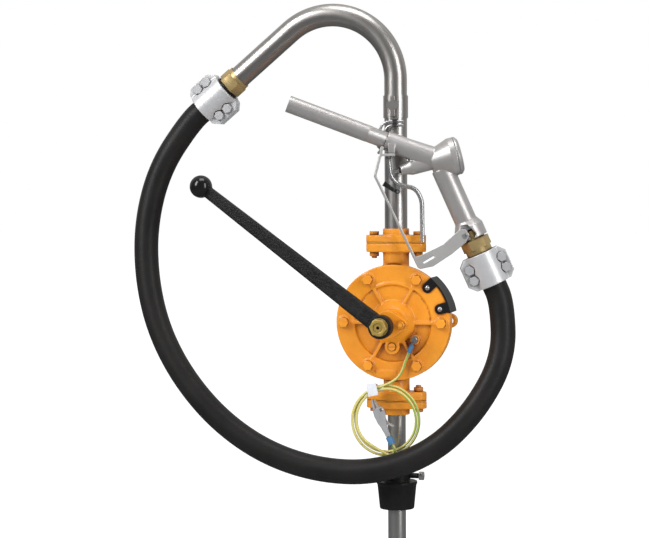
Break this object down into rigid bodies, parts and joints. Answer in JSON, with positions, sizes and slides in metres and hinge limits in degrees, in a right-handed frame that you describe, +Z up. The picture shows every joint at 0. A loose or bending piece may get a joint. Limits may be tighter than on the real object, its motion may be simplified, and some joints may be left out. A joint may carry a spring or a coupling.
{
  "type": "rotary hand transfer pump",
  "caption": "Semi-rotary lever pump on a suction tube with a conical drum bung, gooseneck outlet, rubber hose, trigger nozzle and an earthing cable with clip",
  "frame": {"origin": "centre of the bung adapter's top rim, on the axis of the suction tube", "axes": "+Z up along the suction tube, +X to the right of someone facing the lever side, -Y towards them"},
  "size_m": [0.5829, 0.1686, 1.5633],
  "materials": {
    "pump_orange": "satin enamel on cast iron",
    "cast_brass": "machined",
    "zinc_yellow": "yellow chromate",
    "steel": "bright zinc",
    "stainless": "brushed stainless",
    "zinc_tube": "drawn tube",
    "lever_black": "rough black casting, polished ball",
    "aluminium": "sand cast",
    "clamp_aluminium": "die cast",
    "hose_rubber": "matte, fabric-marked",
    "seal_rubber": "matte",
    "black_plastic": "moulded",
    "gasket_paper": "fibre sheet",
    "packing": "braided, greased",
    "cable_pvc": "yellow with green stripes",
    "sleeve_blue": "soft PVC",
    "tag_white": "plain",
    "dark_steel": "blackened"
  },
  "bodies": {
    "bung": {"bung_adapter": "black_plastic", "bung_seal": "seal_rubber"},
    "clamp_screw": {"bung_clamp_screw": "steel"},
    "lever_and_wing": {"wing_rotor": "cast_brass", "discharge_flap_pins": "steel", "pump_shaft": "steel", "pump_lever": "lever_black", "lever_nut": "zinc_yellow"},
    "discharge_flap_left": {"discharge_flap_left": "cast_brass"},
    "discharge_flap_right": {"discharge_flap_right": "cast_brass"},
    "suction_flap_left": {"suction_flap_left": "cast_brass"},
    "suction_flap_right": {"suction_flap_right": "cast_brass"},
    "trigger": {"trigger": "steel", "latch_pin": "steel"},
    "trigger_latch": {"trigger_latch": "dark_steel"},
    "valve_stem": {"valve_stem": "steel"},
    "clip_jaw": {"clip_moving_jaw": "steel"},
    "pump": {"clip_fixed_jaw": "steel", "coil_tag": "tag_white", "cover_bolts": "pump_orange", "cover_gasket": "gasket_paper", "cover_plug": "pump_orange", "crimp_sleeves": "sleeve_blue", "discharge_pipe": "stainless", "earth_coil": "cable_pvc", "earth_lead": "cable_pvc", "earth_tail": "cable_pvc", "earth_terminal": "steel", "flange_fasteners": "pump_orange", "flange_gaskets": "gasket_paper", "front_cover": "pump_orange", "gland_fasteners": "pump_orange", "gland_follower": "pump_orange", "gland_packing": "packing", "hinge_pins": "steel", "holder_block": "dark_steel", "holder_clamp": "stainless", "hose": "hose_rubber", "hose_clamp_bolts": "steel", "lower_flange": "pump_orange", "nozzle_body": "aluminium", "nozzle_clamp_front": "clamp_aluminium", "nozzle_clamp_rear": "clamp_aluminium", "nozzle_hook": "steel", "nozzle_hose_tail": "cast_brass", "nozzle_spout": "aluminium", "pump_casing": "pump_orange", "rim_guard": "black_plastic", "shaft_bushes": "cast_brass", "small_screws": "steel", "stem_seal": "seal_rubber", "suction_tube": "zinc_tube", "trigger_guard": "clamp_aluminium", "upper_clamp_front": "clamp_aluminium", "upper_clamp_rear": "clamp_aluminium", "upper_flange": "pump_orange", "upper_hose_tail": "cast_brass", "valve_bridge": "cast_brass", "valve_cap": "aluminium", "valve_spring": "steel"}
  },
  "joints": [
    {"name": "pump_height", "type": "slide", "parent": "bung", "child": "pump", "axis": [0, 0, 1], "range_m": [-0.07, 0.6]},
    {"name": "clamp_screw_turn", "type": "hinge", "parent": "bung", "child": "clamp_screw", "pos_m": [0, 0, 0.0085], "axis": [1, 0, 0], "range_deg": [0, 360]},
    {"name": "lever_swing", "type": "hinge", "parent": "pump", "child": "lever_and_wing", "pos_m": [0, 0, 0.239], "axis": [0, 1, 0], "range_deg": [0, 106]},
    {"name": "discharge_flap_left_swing", "type": "hinge", "parent": "lever_and_wing", "child": "discharge_flap_left", "pos_m": [-0.01972, 0, 0.22256], "axis": [0, 1, 0], "range_deg": [0, 20]},
    {"name": "discharge_flap_right_swing", "type": "hinge", "parent": "lever_and_wing", "child": "discharge_flap_right", "pos_m": [0.01037, 0, 0.26249], "axis": [0, -1, 0], "range_deg": [0, 20]},
    {"name": "suction_flap_left_swing", "type": "hinge", "parent": "pump", "child": "suction_flap_left", "pos_m": [-0.00874, 0, 0.21546], "axis": [0, 1, 0], "range_deg": [0, 15]},
    {"name": "suction_flap_right_swing", "type": "hinge", "parent": "pump", "child": "suction_flap_right", "pos_m": [0.00874, 0, 0.21546], "axis": [0, -1, 0], "range_deg": [0, 15]},
    {"name": "trigger_pull", "type": "hinge", "parent": "pump", "child": "trigger", "pos_m": [-0.0027, -0.03873, 0.4835], "axis": [0.2588, -0.9659, 0], "range_deg": [0, 18], "stiffness_Nm_per_rad": 2, "springref_deg": -22.92},
    {"name": "valve_stem_slide", "type": "slide", "parent": "pump", "child": "valve_stem", "axis": [0.9364, 0.2509, 0.2453], "range_m": [0, 0.0077], "deforming": ["valve_spring"]},
    {"name": "latch_turn", "type": "hinge", "parent": "trigger", "child": "trigger_latch", "pos_m": [0.00995, -0.03533, 0.4329], "axis": [-0.2588, 0.9659, 0], "range_deg": [0, 14]},
    {"name": "clip_open", "type": "hinge", "parent": "pump", "child": "clip_jaw", "pos_m": [-0.01, -0.05, 0.093], "axis": [0, 1, 0], "range_deg": [0, 18], "stiffness_Nm_per_rad": 0.3, "springref_deg": -34.38}
  ],
  "couplings": [
    {"joint": "valve_stem_slide", "follows": "trigger_pull", "m_per_rad": 0.0242}
  ]
}
